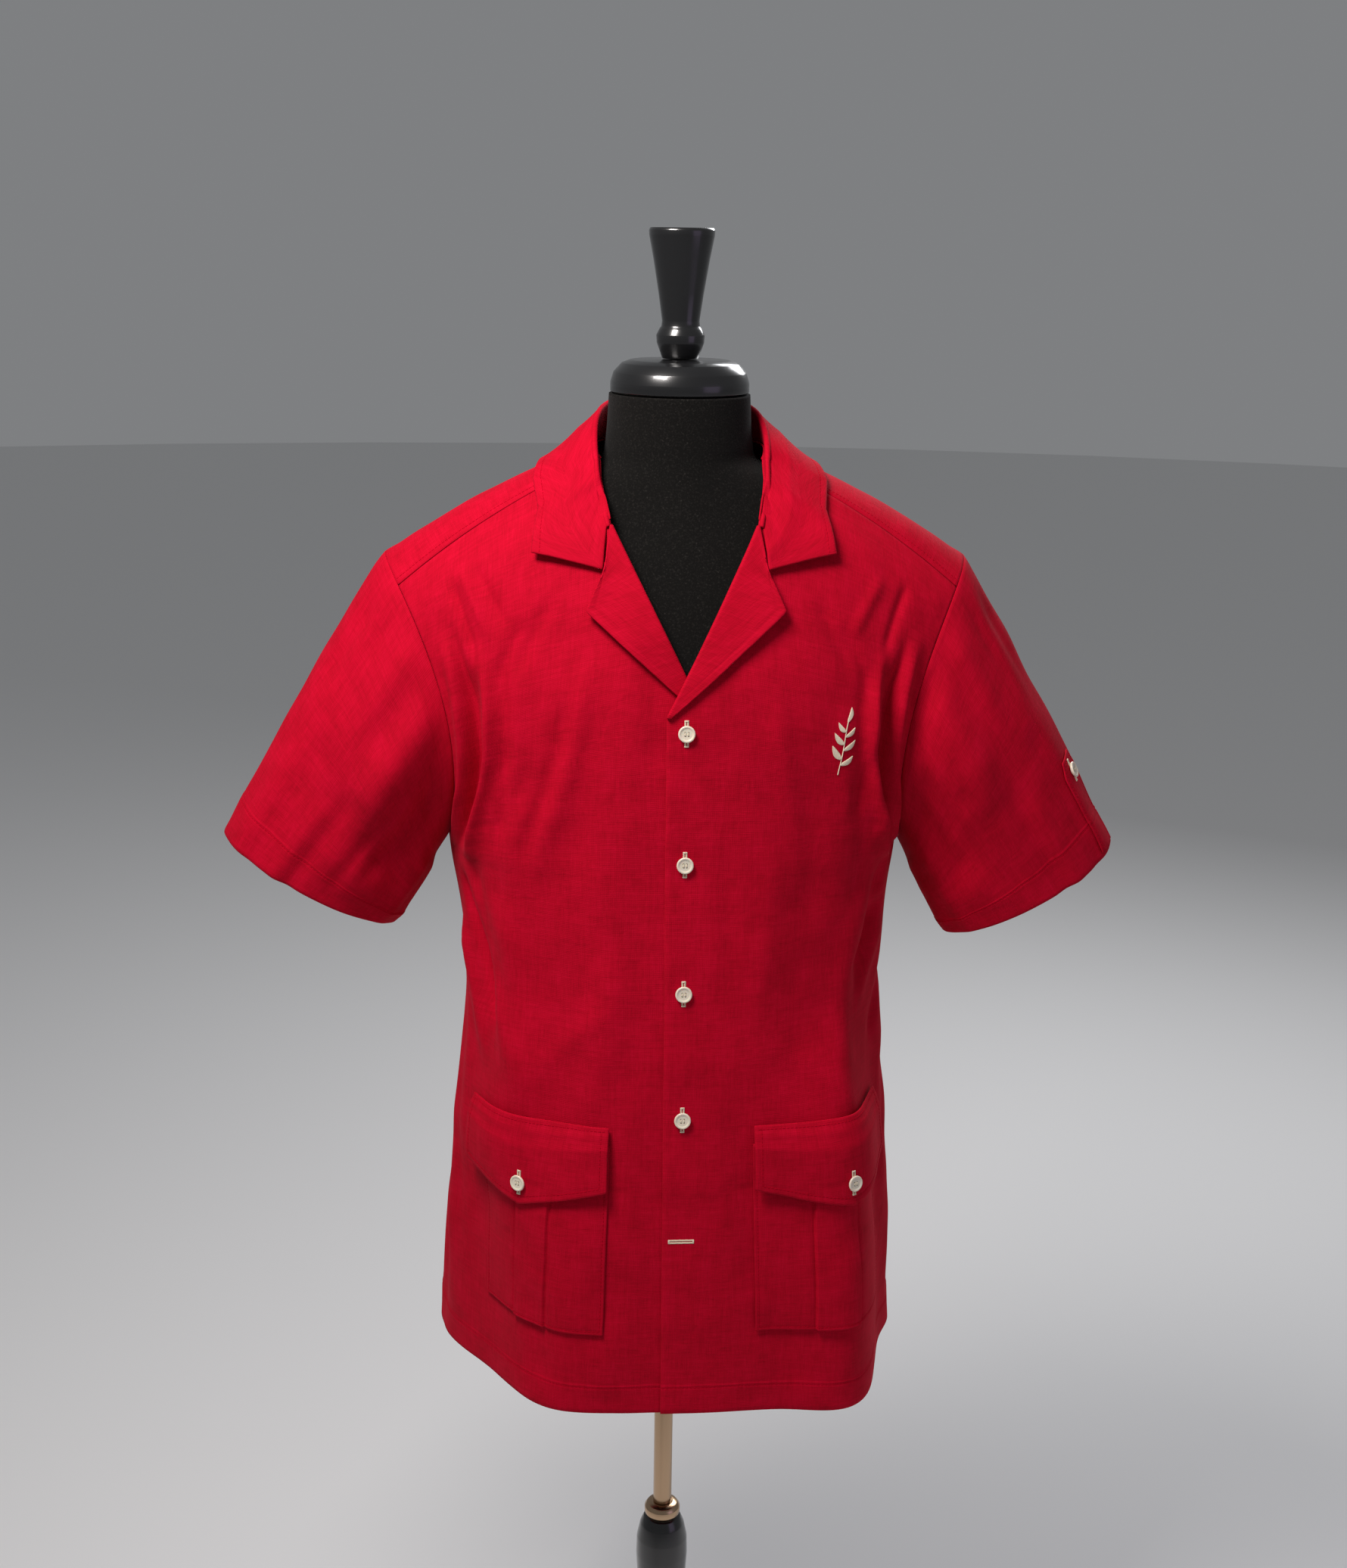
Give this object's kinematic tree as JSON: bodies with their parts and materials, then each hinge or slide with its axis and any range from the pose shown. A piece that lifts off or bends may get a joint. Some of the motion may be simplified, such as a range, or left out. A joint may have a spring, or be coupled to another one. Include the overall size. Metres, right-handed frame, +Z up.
{
  "type": "short-sleeved camp-collar shirt on a dress form with stand",
  "caption": "Buttoned short-sleeved resort shirt with a notched camp collar, flapped hip pockets and sleeve tabs, worn by a limbless dress form on a pole stand",
  "frame": {"origin": "on the floor under the pole, at the middle of the round base", "axes": "+Z up; the shirt's front faces -Y; +X is the wearer's left"},
  "size_m": [0.752, 0.344, 1.601],
  "materials": {
    "cloth": "bright red linen and cotton plain weave, matt",
    "button": "ivory four-hole shirt button, satin gloss",
    "jersey": "black jersey cover, matt",
    "gloss": "black gloss lacquer",
    "metal": "warm bronze-toned metal rod"
  },
  "bodies": {
    "root": {"front_left": "cloth", "front_right": "cloth", "back": "cloth", "yoke": "cloth", "collar": "cloth", "sleeve_left": "cloth", "sleeve_right": "cloth", "pocket_left": "cloth", "pocket_right": "cloth", "flap_left": "cloth", "flap_right": "cloth", "sleeve_tab_left": "cloth", "sleeve_tab_right": "cloth", "button_front_1": "button", "button_front_2": "button", "button_front_3": "button", "button_front_4": "button", "button_pocket_left": "button", "button_pocket_right": "button", "button_tab_left": "button", "button_tab_right": "button", "form_body": "jersey", "neck_cap": "gloss", "finial": "gloss", "pole_hub": "gloss", "base": "gloss", "pole": "metal", "pole_ring": "metal"}
  },
  "joints": []
}
